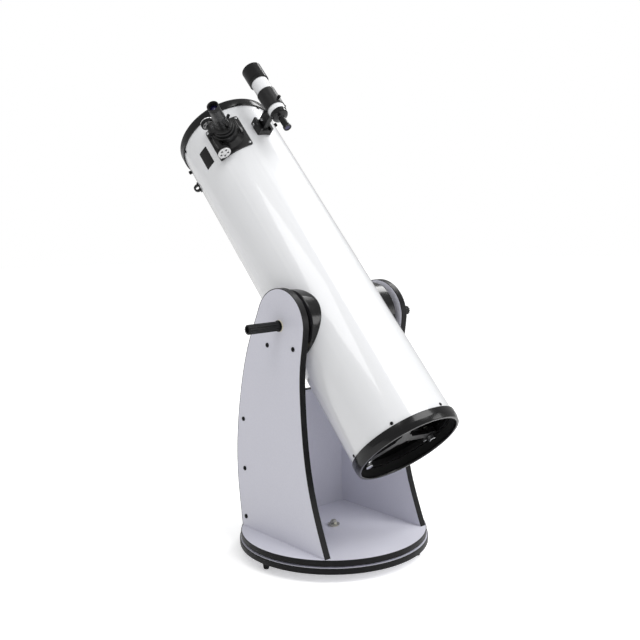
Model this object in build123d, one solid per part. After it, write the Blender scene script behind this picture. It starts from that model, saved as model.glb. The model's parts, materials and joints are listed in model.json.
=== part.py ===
from build123d import *
from math import cos, radians, sin, sqrt

# A Newtonian reflector on a rocker mount that stands on a round ground board.
# Millimetres. X runs along the altitude axis, +Y is where the tube points, +Z is up.
# The origin lies on the floor, on the azimuth axis.

# ---------------------------------------------------------------- driving dimensions
# Boards
foot_height = 24.0
foot_top_radius = 11.0
foot_sole_radius = 6.5
foot_ring = 240.0            # distance of the feet from the azimuth axis
ground_radius = 264.0
floor_radius = 260.0
board = 16.0                 # thickness of both round boards
board_gap = 4.0              # height of the slide pads between the boards
edging = 2.0                 # thickness of the black edge banding
side_thickness = 18.0
front_thickness = 18.0
front_height = 362.0         # height of the front board above the rocker floor
front_inner_face = 151.0     # Y of the front board's inner face

# Altitude axis and tube
axis_y = -12.0               # altitude axis, seen from the azimuth axis
axis_height = 585.0          # altitude axis above the rocker floor
altitude = 47.3              # degrees above the horizon, as modelled
tube_radius = 144.0
tube_wall = 1.2
tube_front = 712.0           # stations along the tube, from the altitude axis
tube_rear = -414.0
side_space = 24.0            # from the tube to the inner face of a side panel
shoulder_radius = 98.0       # round top of the side panels

# Rings on the tube's ends
ring_wall = 4.5              # from the tube's surface to a ring's outside
ring_overlap = 4.0           # how far a ring covers the tube's mouth
ring_radius = tube_radius + ring_wall
ring_lip = tube_radius - ring_overlap
front_ring_length = 27.0
rear_ring_length = 31.0
rear_ring_tail_radius = tube_radius + 0.8
ring_cap = 5.0

# Altitude bearings
flange_radius = 92.0
flange_wall = 6.0
flange_stand = 6.0           # from the tube's widest point to the flange's outer face
journal_radius = 65.0
journal_length = 16.0
post_radius = 12.5
post_angle = 44.0            # degrees from straight down, seen from the altitude axis

# Tension handles
handle_length = 103.0
handle_radius = 13.0
stud_radius = 5.0
washer_radius = 15.5
washer_thickness = 3.0

# Mirrors
mirror_radius = 127.0
mirror_thickness = 34.0
mirror_face = -322.0
secondary_radius = 29.0
secondary_thickness = 9.0

# Focuser
focuser_station = 594.0
focuser_angle = -134.0       # round the tube, from +X towards the side below
plate_length = 112.0
plate_arc = 42.5             # degrees of the tube that the plate covers
plate_thickness = 6.0
drawtube_radius = 27.0
drawtube_bore = 25.4
collar_wall = 9.5            # of the focuser body round the drawtube
collar_radius = drawtube_radius + collar_wall
collar_top = 44.0            # top of the focuser body above the tube's surface
pinion_height = 28.0
pinion_radius = 3.0
rail_height = 3.0            # of the drawtube's flat rail
pinion_offset = drawtube_radius + rail_height + pinion_radius
knob_radius = 20.0
knob_width = 13.0
knob_stand = 50.3            # from the focuser's middle to a knob's inner face
boss_radius = 9.0            # round bosses that carry the pinion's shaft
boss_stand = 9.5             # from the focuser's body to a boss's end
boss_reach = collar_radius + boss_stand

# Eyepiece, 31.75 mm size
barrel_radius = 15.875
eyepiece_length = 72.0
eyepiece_grip = 18.0
eyepiece_top = 16.6

# Finder
finder_station = 591.0
finder_angle = -93.0
finder_stand = 91.5          # from the tube's surface to the finder's axis
finder_radius = 25.2
finder_wall = 1.5
sleeve_radius = 27.6
sleeve_length = 64.0
dew_radius = 29.2
dew_length = 57.0

# Spider
spider_station = 660.0
vane_width = 24.0
vane_thickness = 1.0

# Clearances
cut = 1.0                    # how far a cutting body runs past a face
screw_gap = 0.1              # round a screw in its hole
running_gap = 0.05           # round a turning or sliding fit
slide_gap = 0.2              # between flat faces that slide past each other
open_gap = 1.5               # round a shaft that passes through another body's hole

# ---------------------------------------------------------------- derived places
ground_bottom = foot_height
ground_top = ground_bottom + board
floor_bottom = ground_top + board_gap
floor_top = floor_bottom + board
axis_z = floor_top + axis_height
panel_inner = tube_radius + side_space
panel_outer = panel_inner + side_thickness
flange_face = tube_radius + flange_stand
journal_face = flange_face + journal_length
post_distance = journal_radius + post_radius + 0.3
tube_inner = tube_radius - tube_wall
front_face = tube_front + ring_cap
rear_face = tube_rear - ring_cap
pivot_radius = 5.0
bush_radius = 10.0

TUBE = Location((0, axis_y, axis_z), (altitude - 90, 0, 0))


# ---------------------------------------------------------------- helpers
def rod(radius, low, high, x=0.0, y=0.0):
    """A round bar along Z."""
    middle = (Align.CENTER, Align.CENTER, Align.MIN)
    return Pos(x, y, low) * Cylinder(radius, high - low, align=middle)


def pipe(outer, inner, low, high):
    """A round pipe along Z."""
    return rod(outer, low, high) - rod(inner, low - cut, high + cut)


def block(x0, x1, y0, y1, z0, z1):
    """A box between two corners."""
    return Pos((x0 + x1) / 2, (y0 + y1) / 2, (z0 + z1) / 2) * Box(x1 - x0, y1 - y0, z1 - z0)


def turned(*corners):
    """A body of revolution about Z, from (radius, height) corners."""
    return revolve(make_face(Plane.XZ * Polyline(*corners, close=True)), Axis.Z)


def round_copies(shape, count, first=0.0):
    """Copies of a shape at equal steps round Z."""
    return [Rot(0, 0, first + 360 * k / count) * shape for k in range(count)]


def on_tube(station, angle):
    """A place on the tube's axis: X along the tube, Z straight out at this angle."""
    out = (cos(radians(angle)), sin(radians(angle)), 0)
    return Plane(origin=(0, 0, station), x_dir=(0, 0, 1), z_dir=out).location


def along_x(shape, side):
    """Turns a shape made along Z so that Z becomes +X (side 1) or -X (side -1)."""
    return Rot(0, 90 * side, 0) * shape


def pan_screw(head_radius, head_height, shank_radius, seat, tip):
    """A pan-head screw along Z, head up, with a cross recess."""
    head = rod(head_radius, seat, seat + head_height)
    head = fillet(head.edges().group_by(Axis.Z)[-1], head_height * 0.45)
    arm = head_radius * 0.6
    width = head_radius * 0.22
    floor = seat + head_height * 0.45
    top = seat + head_height + cut
    recess = block(-arm, arm, -width, width, floor, top)
    recess += block(-width, width, -arm, arm, floor, top)
    return head - recess + rod(shank_radius, tip, seat + head_height * 0.2)


def thumbscrew(head_radius, head_height, shank_radius, seat, tip, lobes=12):
    """A hand screw along Z with a grooved head."""
    head = rod(head_radius, seat, seat + head_height)
    head = chamfer(head.edges().group_by(Axis.Z)[-1], head_radius * 0.12)
    groove = rod(head_radius * 0.13, seat - cut, seat + head_height + cut, x=head_radius)
    for copy in round_copies(groove, lobes):
        head -= copy
    return head + rod(shank_radius, tip, seat)


def save(name, shapes, where=Location()):
    """Writes one node, which holds one or more separate solids."""
    solids = []
    for shape in shapes if isinstance(shapes, list) else [shapes]:
        solids += (where * shape).solids()
    whole = solids[0] if len(solids) == 1 else Compound(children=solids)
    whole.label = name
    export_step(whole, "parts/" + name + ".step")
    return solids


# ---------------------------------------------------------------- ground board
pad_ring = foot_ring - 35
foot_angles = [60, 180, 300]
spigot_radius = 5.0
spigot_length = 9.0


def at_foot(shape, angle, ring):
    return Rot(0, 0, angle) * (Pos(ring, 0, 0) * shape)


def ground():
    """The board that stays still, its edging, feet, slide pads and pivot."""
    core = ground_radius - edging
    body = rod(core, ground_bottom, ground_top) - rod(pivot_radius + screw_gap, 0, ground_top + cut)
    head_well = rod(11, ground_bottom - cut, ground_bottom + 5)
    body -= head_well
    spigot_hole = rod(spigot_radius, ground_bottom - cut, ground_bottom + spigot_length)
    for angle in foot_angles:
        body -= at_foot(spigot_hole, angle, foot_ring)
    save("ground_board", body)
    save("ground_board_edging", pipe(ground_radius, core, ground_bottom, ground_top))

    foot = turned((0, 0), (foot_sole_radius, 0), (foot_sole_radius + 0.8, 1.5),
                  (foot_top_radius - 1, foot_height - 5), (foot_top_radius, foot_height - 3),
                  (foot_top_radius, foot_height), (spigot_radius, foot_height),
                  (spigot_radius, foot_height + spigot_length), (0, foot_height + spigot_length))
    save("feet", [at_foot(foot, angle, foot_ring) for angle in foot_angles])

    pad = block(-14, 14, -22, 22, ground_top, floor_bottom - slide_gap)
    pad = fillet(pad.edges().filter_by(Axis.Z), 4)
    save("azimuth_pads", [at_foot(pad, angle, pad_ring) for angle in foot_angles])


def pivot():
    """Bolt, washer and nut of the azimuth pivot, which stay with the ground board."""
    top = floor_top + 16
    head = extrude(RegularPolygon(9, 6), 5)
    bolt = Pos(0, 0, ground_bottom) * head + rod(pivot_radius, ground_bottom, top)
    bolt = chamfer(bolt.edges().group_by(Axis.Z)[-1], 0.8)
    save("pivot_bolt", bolt)
    washer_low = floor_top + 3 + slide_gap
    washer = turned((pivot_radius + screw_gap, washer_low), (17, washer_low),
                    (17, washer_low + 1.6), (15, washer_low + 2.6),
                    (pivot_radius + screw_gap, washer_low + 2.6))
    save("pivot_washer", washer)
    nut_low = washer_low + 2.6
    nut = Pos(0, 0, nut_low) * extrude(RegularPolygon(9.2, 6), 7.5)
    nut = nut & turned((0, nut_low), (9.4, nut_low), (9.4, nut_low + 6.6),
                       (7.6, nut_low + 7.5), (0, nut_low + 7.5))
    collar = pipe(7.2, pivot_radius + screw_gap, nut_low + 7.5, nut_low + 9)
    save("pivot_nut", nut - rod(pivot_radius + screw_gap, 0, top + cut) + collar)


# ---------------------------------------------------------------- rocker box
front_screw_heights = [30.0, 169.0, 310.0]
front_screw_y = front_inner_face + front_thickness / 2
floor_screw_y = [-120.0, 0.0, 110.0]
panel_screw_radius = 2.5
panel_middle = (panel_inner + panel_outer) / 2
cap_radius = 6.2
cap_height = 2.4


def post_places():
    """Y and Z of the two nylon posts that carry a bearing journal."""
    drop = post_distance * cos(radians(post_angle))
    reach = post_distance * sin(radians(post_angle))
    return [(axis_y - reach, axis_z - drop), (axis_y + reach, axis_z - drop)]


def panel_outline(inset):
    """Side panel in Y and Z above the floor, drawn in by this much except at the bottom."""
    h = axis_height
    crown = shoulder_radius - inset
    turn = radians(25)
    front_top = (axis_y + crown * cos(turn), h + crown * sin(turn))
    rear_top = (axis_y - crown, h)
    front = Spline((178 - inset, 0), (195 - inset, h * 0.26), (174 - inset, h * 0.63),
                   (120 - inset * 1.1, h * 0.925), front_top,
                   tangents=((0.12, 1), (-sin(turn), cos(turn))))
    top = ThreePointArc(front_top, (axis_y, h + crown), rear_top)
    rear = Spline(rear_top, (-94 + inset, h * 0.83), (-92 + inset, h * 0.64),
                  (-107 + inset, h * 0.38), (-178 + inset, 0), tangents=((0.1, -1), (-0.42, -1)))
    bottom = Line((-178 + inset, 0), (178 - inset, 0))
    return make_face(front + top + rear + bottom)


def panel_shapes():
    """The bare panel and its edging, both at X from 0 to the panel's thickness."""
    upright = Pos(0, 0, floor_top) * Plane.YZ.location
    whole = extrude(panel_outline(0), side_thickness)
    core = extrude(panel_outline(edging), side_thickness)
    return upright * core, upright * (whole - core)


def panel_holes(side):
    """Everything that is drilled in a side panel."""
    holes = []
    for height in front_screw_heights:
        bore = rod(panel_screw_radius + screw_gap, panel_inner - cut, panel_outer + cut)
        holes.append(Pos(0, front_screw_y, floor_top + height) * along_x(bore, side))
    for y, z in post_places():
        bore = rod(3 + screw_gap, panel_inner - cut, panel_outer + cut)
        holes.append(Pos(0, y, z) * along_x(bore, side))
    stud = rod(stud_radius + open_gap, panel_inner - cut, panel_outer + cut)
    holes.append(Pos(0, axis_y, axis_z) * along_x(stud, side))
    for y in floor_screw_y:
        up = rod(panel_screw_radius + screw_gap, floor_top - cut, floor_top + 30 + screw_gap)
        holes.append(Pos(side * panel_middle, y, 0) * up)
    return holes


def rocker():
    """The box that turns in azimuth: floor, two sides, front board and fittings."""
    core = floor_radius - edging
    floor = rod(core, floor_bottom, floor_top) - rod(bush_radius, floor_bottom - cut, floor_top + cut)
    screw_places = [(side * panel_middle, y) for side in (-1, 1) for y in floor_screw_y]
    screw_places += [(-90.0, front_screw_y), (90.0, front_screw_y)]
    seat = floor_bottom + 1
    screws = []
    for x, y in screw_places:
        floor -= rod(panel_screw_radius + screw_gap, floor_bottom, floor_top + cut, x, y)
        sink = turned((0, floor_bottom - cut), (6, floor_bottom - cut), (6, seat),
                      (panel_screw_radius, seat + 3.5), (0, seat + 3.5))
        floor -= Pos(x, y, 0) * sink
        screw = turned((0, seat), (5.8, seat), (panel_screw_radius, seat + 3.3),
                       (panel_screw_radius, floor_top + 28), (0, floor_top + 30))
        screws.append(Pos(x, y, 0) * screw)
    save("rocker_floor", floor)
    save("rocker_floor_edging", pipe(floor_radius, core, floor_bottom, floor_top))
    save("floor_screws", screws)

    blank, band = panel_shapes()
    bands = []
    for side, name in ((-1, "left"), (1, "right")):
        shift = Pos(panel_inner if side > 0 else -panel_outer, 0, 0)
        panel = shift * blank
        for hole in panel_holes(side):
            panel -= hole
        save("side_panel_" + name, panel)
        bands.append(shift * band)

    board_top = floor_top + front_height
    front = block(-panel_inner, panel_inner, front_inner_face, front_inner_face + front_thickness,
                  floor_top, board_top - edging)
    for side in (-1, 1):
        for height in front_screw_heights:
            bore = rod(panel_screw_radius + screw_gap, panel_inner - 36, panel_inner + cut)
            front -= Pos(0, front_screw_y, floor_top + height) * along_x(bore, side)
    for x in (-90.0, 90.0):
        front -= rod(panel_screw_radius + screw_gap, floor_top - cut, floor_top + 30.5, x, front_screw_y)
    save("front_board", front)
    bands.append(block(-panel_inner, panel_inner, front_inner_face,
                       front_inner_face + front_thickness, board_top - edging, board_top))
    save("panel_edging", bands)
    fittings()


def fittings():
    """Bolts, nylon posts and the pivot's bush."""
    cap = rod(cap_radius, panel_outer, panel_outer + cap_height)
    cap = fillet(cap.edges().group_by(Axis.Z)[-1], 1)
    socket = extrude(RegularPolygon(2.6, 6), 4)
    cap -= Pos(0, 0, panel_outer + 1) * socket
    long_bolt = cap + rod(panel_screw_radius, panel_inner - 35, panel_outer + 0.5)
    post_low = flange_face + 2.5
    flat_head = rod(6, post_low, post_low + 2)
    post_bolt = cap + rod(3, post_low + 1, panel_outer + 0.5) + flat_head
    post = rod(post_radius, post_low, panel_inner)
    post = chamfer(post.edges().group_by(Axis.Z)[0], 1)
    post -= rod(6.2, post_low - cut, post_low + 2.2)
    post -= rod(3 + screw_gap, post_low, panel_inner + cut)
    bolts = []
    posts = []
    for side in (-1, 1):
        for height in front_screw_heights:
            place = Pos(0, front_screw_y, floor_top + height)
            bolts.append(place * along_x(long_bolt, side))
        for y, z in post_places():
            bolts.append(Pos(0, y, z) * along_x(post_bolt, side))
            posts.append(Pos(0, y, z) * along_x(post, side))
    save("panel_bolts", bolts)
    save("bearing_posts", posts)
    bush = pipe(bush_radius, pivot_radius + running_gap, floor_bottom, floor_top)
    bush += pipe(14, pivot_radius + running_gap, floor_top, floor_top + 3)
    save("pivot_bush", bush)


# ---------------------------------------------------------------- tension handles
def handles():
    """Grooved grips on studs that screw into the bearings and pull the sides together."""
    base = panel_outer + washer_thickness
    tip = flange_face + 2
    end = panel_outer + handle_length
    grip = turned((0, base), (14, base), (14, base + 3), (handle_radius - 1.5, base + 5),
                  (handle_radius, base + 9), (handle_radius, end - 2), (handle_radius - 2, end),
                  (handle_radius - 4.5, end), (handle_radius - 5, end - 6), (0, end - 6))
    groove = rod(1.7, base + 8, end + cut, x=handle_radius + 0.5)
    for copy in round_copies(groove, 12):
        grip -= copy
    grip += rod(stud_radius, tip, base)
    washer = pipe(washer_radius, stud_radius + running_gap, panel_outer + slide_gap, base - running_gap)
    washer = chamfer(washer.edges().group_by(Axis.Z)[-1], 0.5)
    for side, name in ((-1, "left"), (1, "right")):
        place = Pos(0, axis_y, axis_z)
        save("tension_handle_" + name, place * along_x(grip, side))
        save("tension_washer_" + name, place * along_x(washer, side))


# ---------------------------------------------------------------- optical tube
ring_screw_station = front_face - front_ring_length - 5
cell_station = -381.0
cell_screw_angles = [161.7 + 60 * k for k in range(6)]
ring_screw_angles = [163, 43, -77]
small_screw = 2.0
bearing_screw_ring = 79.0
plate_screw_x = plate_length / 2 - 7
plate_screw_arc = plate_arc / 2 - 3.2
plate_screw_places = [(sx * plate_screw_x, sa * plate_screw_arc) for sx in (-1, 1) for sa in (-1, 1)]
vane_angles = [focuser_angle + 90 * k for k in range(4)]
shoe_length = 48.0
shoe_width = 45.0
shoe_screw_x = 15.0


def radial_hole(radius, station, angle):
    """A drill straight through the tube's wall."""
    return on_tube(station, angle) * rod(radius, tube_inner - 20, tube_radius + 20)


def bearing_screw_holes(side):
    """The four screws of an altitude bearing, as places along X."""
    places = []
    for turn in (18, -18, 162, 198):
        z = bearing_screw_ring * cos(radians(turn))
        y = bearing_screw_ring * sin(radians(turn))
        places.append(Pos(0, y, z) * Rot(0, 90 * side, 0))
    return places


def tube():
    """The rolled steel tube with every hole that passes through its wall."""
    shell = pipe(tube_radius, tube_inner, tube_rear, tube_front)
    for angle in cell_screw_angles:
        shell -= radial_hole(small_screw + screw_gap, cell_station, angle)
    for angle in ring_screw_angles:
        shell -= radial_hole(small_screw + screw_gap, ring_screw_station, angle)
    for angle in vane_angles:
        shell -= radial_hole(2 + screw_gap, spider_station, angle)
    for x, arc in plate_screw_places:
        shell -= radial_hole(small_screw + screw_gap, focuser_station + x, focuser_angle + arc)
    for x in (-shoe_screw_x, shoe_screw_x):
        shell -= radial_hole(small_screw + screw_gap, finder_station + x, finder_angle)
    shell -= radial_hole(drawtube_radius + 4, focuser_station, focuser_angle)
    for side in (-1, 1):
        for place in bearing_screw_holes(side):
            shell -= place * rod(small_screw + screw_gap, tube_inner - 30, tube_radius + 20)
    save("tube_shell", shell, TUBE)


def rings():
    """Moulded rings that cap the tube's ends."""
    low = front_face - front_ring_length
    front = turned((tube_radius, low), (ring_radius - 1, low), (ring_radius, low + 1),
                   (ring_radius, front_face - 4), (ring_radius - 1.2, front_face - 1.2),
                   (ring_radius - 4, front_face), (ring_lip + 1, front_face),
                   (ring_lip, front_face - 1), (ring_lip, tube_front), (tube_radius, tube_front))
    save("front_ring", front, TUBE)
    high = rear_face + rear_ring_length
    tail = rear_ring_tail_radius
    rear = turned((tube_radius, high), (ring_radius - 1, high), (ring_radius, high - 1.5),
                  (ring_radius - 0.6, rear_face + 14), (tail, rear_face + 2.5),
                  (tail - 3, rear_face), (ring_lip - 1, rear_face), (ring_lip - 2.5, rear_face + 1.5),
                  (ring_lip - 2.5, tube_rear), (tube_radius, tube_rear))
    save("rear_ring", rear, TUBE)


def bearings():
    """Altitude bearings: a saddle flange on the tube and a journal that sits on the posts."""
    low = sqrt(tube_radius ** 2 - flange_radius ** 2) - 12
    plate_inner = flange_face - flange_stand
    body = turned((flange_radius - flange_wall, low), (flange_radius, low),
                  (flange_radius, flange_face - 2), (flange_radius - 2, flange_face),
                  (journal_radius, flange_face), (journal_radius, journal_face - 1.5),
                  (journal_radius - 1.5, journal_face), (journal_radius - 8, journal_face),
                  (journal_radius - 8, flange_face + 2), (18, flange_face + 2), (16, journal_face),
                  (0, journal_face), (0, plate_inner), (flange_radius - flange_wall, plate_inner))
    body -= rod(stud_radius + running_gap, flange_face + 1.5, journal_face + cut)
    shell = rod(tube_radius, tube_rear, tube_front)
    for side, name in ((-1, "left"), (1, "right")):
        bearing = along_x(body, side) - shell
        for place in bearing_screw_holes(side):
            bearing -= place * rod(small_screw + screw_gap, low, flange_face + cut)
        save("altitude_bearing_" + name, bearing, TUBE)


def tube_screws():
    """Black pan-head screws: front ring, mirror cell and both altitude bearings."""
    screws = []
    radial = pan_screw(4.2, 2.6, small_screw, tube_radius, tube_inner - 7)
    for angle in cell_screw_angles:
        screws.append(on_tube(cell_station, angle) * radial)
    short = pan_screw(3.6, 2.2, small_screw, tube_radius, tube_inner - 4)
    for angle in ring_screw_angles:
        screws.append(on_tube(ring_screw_station, angle) * short)
    across = pan_screw(4.6, 2.0, small_screw, flange_face, tube_inner - 10)
    for side in (-1, 1):
        screws += [place * across for place in bearing_screw_holes(side)]
    save("tube_screws", screws, TUBE)


def loop():
    """The small lug with an eye on the tube's underside."""
    eye_radius = 13.0
    height = tube_radius + 6
    ring = Rot(90, 0, 0) * (Pos(0, 0, -3) * rod(eye_radius, 0, 6))
    lug = Pos(0, 0, height) * ring + block(-17, 17, -4, 4, tube_radius - 6, tube_radius + 4)
    lug -= Pos(0, 0, height + 2) * (Rot(90, 0, 0) * rod(6.0, -5, 5))
    lug -= Rot(0, 90, 0) * rod(tube_radius, -40, 40)
    save("tube_loop", lug, TUBE * on_tube(597, 136))


# ---------------------------------------------------------------- mirror cell
knob_ring = mirror_radius - 15
knob_angles = [8, 128, 248]
cell_back = cell_station - 9
cell_front = cell_station + 5
carrier_back = cell_front + 12
carrier_front = carrier_back + 7
bolt_radius = 3.0
mirror_back = mirror_face - mirror_thickness
spring_radius = 7.0
spring_wire = 1.0
mirror_play = 1.0            # travel of the carrier each way


def at_knob(shape, angle):
    return Rot(0, 0, angle) * (Pos(knob_ring, 0, 0) * shape)


def mirror_cell():
    """Fixed casting, floating carrier, springs, knobs, lock screws, mirror and clips."""
    rim_inner = tube_inner - 14
    casting = pipe(tube_inner, rim_inner, cell_back, cell_front)
    casting += rod(24, cell_back, cell_front)
    for angle in knob_angles:
        arm = block(0, rim_inner + 4, -11, 11, cell_back, cell_front)
        casting += Rot(0, 0, angle) * arm + at_knob(rod(19, cell_back, cell_front), angle)
    for angle in knob_angles:
        casting -= at_knob(rod(bolt_radius + running_gap, cell_back - cut, cell_front + cut), angle)
        lock = rod(2.5 + screw_gap, cell_back - cut, cell_front + cut)
        casting -= Rot(0, 0, angle + 9) * (Pos(knob_ring - 9, 0, 0) * lock)
    for angle in cell_screw_angles:
        casting -= on_tube(cell_station, angle) * rod(small_screw + screw_gap, tube_inner - 8, tube_radius)
    save("mirror_cell", casting, TUBE)

    carrier = rod(mirror_radius - 3, carrier_back, carrier_front)
    window = rod(20, carrier_back - cut, carrier_front + cut, x=62)
    for copy in round_copies(window, 3, knob_angles[0] + 60):
        carrier -= copy
    carrier -= rod(24, carrier_back - cut, carrier_front + cut)
    for angle in knob_angles:
        well = rod(spring_radius + 1.5, carrier_back - cut, carrier_back + 2)
        hole = rod(bolt_radius + running_gap, carrier_back, carrier_front + cut)
        carrier -= at_knob(well, angle)
        carrier -= at_knob(hole, angle)
    for copy in round_copies(rod(12, carrier_front, mirror_back, x=85), 3, knob_angles[0] + 60):
        carrier += copy
    save("mirror_carrier", carrier, TUBE)

    mirror = rod(mirror_radius, mirror_back, mirror_face)
    mirror = chamfer(mirror.edges(), 1.2)
    focal_radius = 2400.0
    mirror -= Pos(0, 0, mirror_face - 3.2 + focal_radius) * Sphere(focal_radius)
    save("primary_mirror", mirror, TUBE)

    clip_post = block(mirror_radius + 0.2, mirror_radius + 4, -8, 8, carrier_back, mirror_face + 3)
    clip_foot = block(mirror_radius - 9, mirror_radius + 4, -8, 8, carrier_back - 3, carrier_back)
    clip_lip = block(mirror_radius - 6, mirror_radius + 4, -8, 8, mirror_face + 0.5, mirror_face + 3)
    clip = clip_post + clip_foot + clip_lip
    save("mirror_clips", round_copies(clip, 3, knob_angles[0] + 30), TUBE)
    collimation()


def collimation():
    """Three spring-loaded knobs that move the carrier, and three lock screws."""
    coil_low = cell_front + spring_wire
    coil_high = carrier_back + 2 - mirror_play - 0.3 - spring_wire
    path = Helix(pitch=(coil_high - coil_low) / 4, height=coil_high - coil_low, radius=spring_radius - 1)
    section = Plane(origin=path @ 0, z_dir=path % 0) * Circle(spring_wire)
    coil = Pos(0, 0, coil_low) * sweep(section, path=path, is_frenet=True)
    save("collimation_springs", [at_knob(coil, angle) for angle in knob_angles], TUBE)
    head_low = cell_back - 15
    for number, angle in enumerate(knob_angles, 1):
        knob = rod(10, head_low, cell_back - slide_gap - mirror_play)
        knob = chamfer(knob.edges(), 1)
        for copy in round_copies(rod(0.9, head_low - cut, cell_back + cut, x=10.3), 20):
            knob -= copy
        knob += rod(bolt_radius, cell_back - 3, carrier_front - mirror_play - 0.5)
        save("collimation_knob_" + str(number), at_knob(knob, angle), TUBE)
    lock = Rot(180, 0, 0) * thumbscrew(5.5, 8, 2.5, -cell_back, -(carrier_back - 1.6))
    locks = [Rot(0, 0, angle + 9) * (Pos(knob_ring - 9, 0, 0) * lock) for angle in knob_angles]
    save("mirror_lock_screws", locks, TUBE)


# ---------------------------------------------------------------- spider and secondary
hub_radius = 15.0
hub_length = 26.0
holder_back = 38.0           # from the tube's crossing point to the holder's back plate


def spider():
    """Four vanes and a hub that carry the diagonal mirror."""
    low = spider_station - hub_length / 2
    body = rod(hub_radius, low, low + hub_length)
    half = vane_width / 2
    for angle in vane_angles:
        vane = block(-half, half, -vane_thickness / 2, vane_thickness / 2, hub_radius - 2, tube_inner - 3)
        foot = block(-half, half, -3, 3, tube_inner - 4.5, tube_inner - 1)
        stud = rod(2, tube_inner - 3, tube_radius + 9)
        body += on_tube(spider_station, angle) * (vane + foot + stud)
    body -= rod(3 + screw_gap, low - cut, low + hub_length + cut)
    for copy in round_copies(rod(2 + screw_gap, low - cut, low + hub_length + cut, x=10), 3):
        body -= copy
    save("spider", body, TUBE)
    nut = thumbscrew(5.5, 7, 5.5, tube_radius + 1.2, tube_radius + 0.2)
    nut -= rod(2 + screw_gap, tube_radius - cut, tube_radius + 20)
    save("vane_nuts", [on_tube(spider_station, angle) * nut for angle in vane_angles], TUBE)


def secondary():
    """The diagonal mirror at 45 degrees, its holder and the screws that aim it."""
    place = TUBE * on_tube(focuser_station, focuser_angle)
    slant = Rot(0, -45, 0)
    pole = Rot(0, 90, 0) * rod(secondary_radius, -80, 80)
    glass = pole & (slant * block(-200, 200, -200, 200, -secondary_thickness, 0))
    save("secondary_mirror", glass, place)
    behind = slant * block(-200, 200, -200, 200, -200, -secondary_thickness)
    outer = Rot(0, 90, 0) * rod(secondary_radius - 1, -80, holder_back)
    inner = Rot(0, 90, 0) * rod(secondary_radius - 3, -80, holder_back - 5)
    holder = (outer - inner) & behind
    bore = Rot(0, 90, 0) * rod(3 + screw_gap, 0, holder_back + cut)
    save("secondary_holder", holder - bore, place)
    hub_top = spider_station + hub_length / 2
    plate = focuser_station + holder_back
    centre = pan_screw(6, 3, 3, hub_top, plate - 8) + rod(6, plate - 8, plate - 5)
    aiming = round_copies(Pos(10, 0, 0) * pan_screw(3, 2, 2, hub_top, plate), 3)
    save("secondary_screws", [centre] + aiming, TUBE)


# ---------------------------------------------------------------- focuser
body_top = tube_radius + collar_top
pinion_z = tube_radius + pinion_height
shaft_half = knob_stand + knob_width - 2


def pinion_bar(radius, low, high):
    """A bar along the pinion's axis, in the focuser's own place."""
    return Pos(0, pinion_offset, pinion_z) * (Rot(0, 90, 0) * rod(radius, low, high))


def focuser():
    """Base plate and body, drawtube, pinion with its knobs, and the fixing screws."""
    place = TUBE * on_tube(focuser_station, focuser_angle)
    half = plate_length / 2
    top = tube_radius + plate_thickness
    width = tube_radius * sin(radians(plate_arc / 2))
    around = Rot(0, 90, 0) * pipe(top, tube_radius, -half, half)
    plate = block(-half, half, -width, width, tube_radius * 0.6, top)
    plate = fillet(plate.edges().filter_by(Axis.Z), 6) & around
    flare_root = collar_radius + 9.5
    flare = turned((0, tube_radius - 10), (flare_root, tube_radius - 10), (flare_root, top - 1), (flare_root - 6, top + 7),
                   (collar_radius - 1.5, top + 14), (collar_radius - 1.5, body_top - 12),
                   (collar_radius, body_top - 11), (collar_radius, body_top - 1),
                   (collar_radius - 1, body_top), (0, body_top))
    flare -= Rot(0, 90, 0) * rod(tube_radius, -80, 80)
    saddle = block(-23, 23, 20, pinion_offset + 9, top - 6, pinion_z + 8)
    saddle = fillet(saddle.edges().filter_by(Axis.X), 3)
    cheek = block(-16, 18, -collar_radius - 4, -20, top - 4, pinion_z + 6)
    cheek = fillet(cheek.edges().filter_by(Axis.X), 2)
    bosses = pinion_bar(boss_radius, -boss_reach, boss_reach) - rod(collar_radius - 2, 0, body_top)
    body = plate + flare + saddle + cheek + bosses
    body -= Rot(0, 90, 0) * rod(tube_radius, -80, 80)
    body -= rod(drawtube_radius + running_gap, tube_radius - 30, body_top + cut)
    body -= pinion_bar(pinion_radius + running_gap, -boss_reach - cut, boss_reach + cut)
    rail_half = 4.0
    body -= block(-rail_half - 0.5, rail_half + 0.5, 0, pinion_offset, tube_radius - 20, body_top + cut)
    for x, arc in plate_screw_places:
        hole = rod(small_screw + screw_gap, tube_radius - 9, top + 9)
        hole += rod(4.4, top - 1, top + 9)
        body -= on_tube(0, 0).inverse() * (on_tube(x, arc) * hole)
    lock_bore = Pos(0, 0, pinion_z - 8.5) * (Rot(-90, 0, 0) * rod(1.6 + screw_gap, pinion_offset - 3, pinion_offset + 27))
    body -= Pos(14, 0, 0) * lock_bore
    save("focuser_body", body, place)

    screws = [on_tube(x, arc) * pan_screw(4, 2.4, small_screw, top - 1, tube_inner - 5)
              for x, arc in plate_screw_places]
    save("focuser_plate_screws", [on_tube(0, 0).inverse() * screw for screw in screws], place)
    drawtube(place, rail_half)

    shaft = pinion_bar(pinion_radius, -shaft_half, shaft_half)
    save("pinion_shaft", shaft, place)
    knob = turned((pinion_radius, 0), (knob_radius - 2, 0), (knob_radius, 2),
                  (knob_radius, knob_width - 1.5), (knob_radius - 1.5, knob_width),
                  (0, knob_width), (0, knob_width - 2), (pinion_radius, knob_width - 2))
    for copy in round_copies(rod(3, knob_width - 3, knob_width + cut, x=11.5), 5, 18):
        knob -= copy
    for copy in round_copies(rod(1.0, -cut, knob_width + cut, x=knob_radius + 0.3), 36):
        knob -= copy
    stations = [Rot(0, 90 * side, 0) * (Pos(0, 0, knob_stand) * knob) for side in (-1, 1)]
    save("focus_knobs", [Pos(0, pinion_offset, pinion_z) * one for one in stations], place)


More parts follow.
